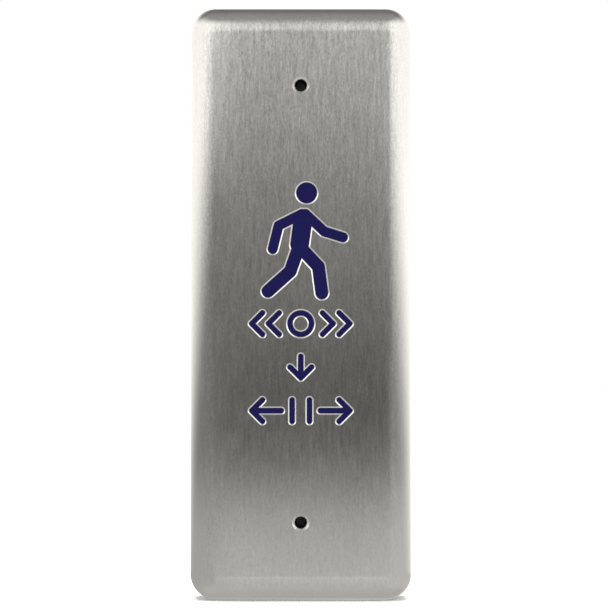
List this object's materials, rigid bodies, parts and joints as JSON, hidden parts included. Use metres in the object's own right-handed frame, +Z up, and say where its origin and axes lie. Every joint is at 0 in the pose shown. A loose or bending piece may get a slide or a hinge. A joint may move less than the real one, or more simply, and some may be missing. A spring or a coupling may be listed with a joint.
{
  "type": "push plate switch",
  "caption": "Narrow wall-mounted push plate in brushed steel that presses and rocks on a sprung carrier to work a snap-action switch behind it.",
  "frame": {"origin": "centre of the wall face, midway between the two wall screw holes, on the rear face of the gasket", "axes": "+Z up along the plate, -Y out of the wall towards the person who presses, +X to that person's right"},
  "size_m": [0.043, 0.0448, 0.115],
  "materials": {
    "brushed_stainless": "vertical brushed grain, satin",
    "navy_enamel": "paint-filled engraving, slightly glossy",
    "plain_steel": "drawn or turned steel, bright",
    "zinc_plated_steel": "pressed sheet, bright zinc plated",
    "black_oxide_steel": "black oxide, lightly oiled",
    "spring_steel": "hard drawn wire",
    "natural_acetal": "moulded, low friction",
    "black_rubber": "moulded, matt",
    "gasket_foam": "closed-cell sponge",
    "brass": "turned or stamped",
    "brown_phenolic": "compression moulded",
    "black_nylon": "moulded",
    "red_plastic": "moulded",
    "copper_alloy": "rolled strip",
    "tinned_brass": "stamped and tin plated"
  },
  "bodies": {
    "base": {"back_plate": "zinc_plated_steel", "wall_gasket": "gasket_foam", "captive_screws": "black_oxide_steel", "silencing_rings": "black_rubber", "return_springs": "spring_steel", "bump_stops": "black_rubber", "pusher_bush": "brass", "switch_bracket": "zinc_plated_steel", "bracket_rivets": "plain_steel", "switch_case": "brown_phenolic", "switch_cover": "black_nylon", "lever_pin": "plain_steel", "blade_spring": "copper_alloy", "terminal_common": "tinned_brass", "terminal_open": "tinned_brass", "terminal_closed": "tinned_brass", "switch_screws": "zinc_plated_steel", "switch_nuts": "zinc_plated_steel", "switch_washers": "zinc_plated_steel"},
    "presser": {"pusher": "natural_acetal", "pusher_clip": "black_oxide_steel"},
    "plate": {"face_plate": "brushed_stainless", "figure_enamel": "navy_enamel", "sign_enamel": "navy_enamel", "weld_studs": "plain_steel", "carrier": "zinc_plated_steel", "carrier_nuts": "zinc_plated_steel", "carrier_washers": "zinc_plated_steel", "guide_bushes": "natural_acetal"},
    "lever": {"switch_lever": "plain_steel"},
    "plunger": {"switch_plunger": "red_plastic"},
    "blade": {"contact_blade": "copper_alloy"}
  },
  "joints": [
    {"name": "press", "type": "slide", "parent": "base", "child": "presser", "axis": [0, 1, 0], "range_m": [0, 0.002], "stiffness_N_per_m": 1500, "springref_m": -0.002, "deforming": ["return_springs", "silencing_rings"]},
    {"name": "rock", "type": "hinge", "parent": "presser", "child": "plate", "pos_m": [0, -0.0076, 0], "axis": [1, 0, 0], "range_deg": [-0.45, 0.45], "stiffness_Nm_per_rad": 12},
    {"name": "lever_turn", "type": "hinge", "parent": "base", "child": "lever", "pos_m": [0, 0.00535, -0.012], "axis": [-1, 0, 0], "range_deg": [0, 9.6]},
    {"name": "plunger_slide", "type": "slide", "parent": "base", "child": "plunger", "axis": [0, 1, 0], "range_m": [0, 0.00083]},
    {"name": "blade_swing", "type": "hinge", "parent": "base", "child": "blade", "pos_m": [0, 0.01415, -0.008], "axis": [-1, 0, 0], "range_deg": [0, 3.86], "deforming": ["blade_spring"]}
  ],
  "couplings": [
    {"joint": "lever_turn", "follows": "press", "rad_per_m": 83.724},
    {"joint": "plunger_slide", "follows": "press", "ratio": 0.41021},
    {"joint": "blade_swing", "follows": "press", "rad_per_m": 33.598}
  ]
}
